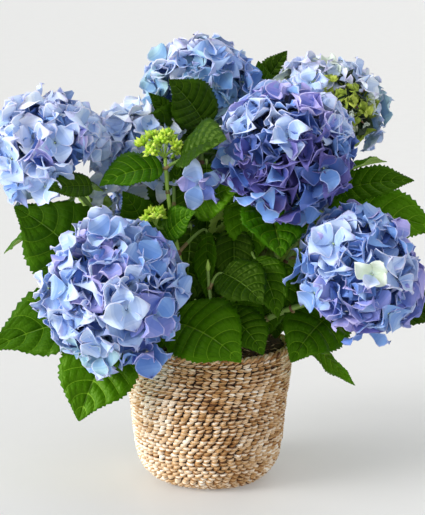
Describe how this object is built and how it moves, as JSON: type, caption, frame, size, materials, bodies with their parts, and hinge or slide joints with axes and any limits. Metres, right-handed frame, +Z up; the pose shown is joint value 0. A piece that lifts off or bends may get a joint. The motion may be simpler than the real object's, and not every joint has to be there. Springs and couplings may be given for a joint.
{
  "type": "potted hydrangea shrub",
  "caption": "Potted mophead hydrangea shrub: round blue flower heads over broad toothed leaves, in a soft round basket of twined seagrass.",
  "frame": {"origin": "centre of the basket's flat underside", "axes": "+Z up, -Y towards the front that the picture shows, +X to the right seen from the front"},
  "size_m": [0.5293, 0.4632, 0.5148],
  "materials": {
    "basket": "dry twisted grass, matt",
    "soil": "moist, crumbly and matt",
    "cane": "green bark with brown lenticels, satin",
    "leaf": "quilted leaf, satin",
    "bloom": "soft petal, matt",
    "bud": "small matt buds"
  },
  "bodies": {
    "root": {"basket": "basket", "soil": "soil", "cane_left": "cane", "leaves_left": "leaf", "bloom_left": "bloom", "cane_midleft": "cane", "leaves_midleft": "leaf", "bloom_midleft": "bloom", "cane_top": "cane", "leaves_top": "leaf", "bloom_top": "bloom", "cane_centre": "cane", "leaves_centre": "leaf", "bloom_centre": "bloom", "cane_topright": "cane", "leaves_topright": "leaf", "bloom_topright": "bloom", "cane_lowleft": "cane", "leaves_lowleft": "leaf", "bloom_lowleft": "bloom", "cane_lowright": "cane", "leaves_lowright": "leaf", "bloom_lowright": "bloom", "cane_backleft": "cane", "leaves_backleft": "leaf", "bloom_backleft": "bloom", "cane_backright": "cane", "leaves_backright": "leaf", "bloom_backright": "bloom", "cane_bud": "cane", "leaves_bud": "leaf", "cane_front": "cane", "leaves_front": "leaf", "cane_shoot": "cane", "leaves_shoot": "leaf", "cane_right": "cane", "leaves_right": "leaf", "cane_back": "cane", "leaves_back": "leaf", "bud_head": "bud"}
  },
  "joints": []
}
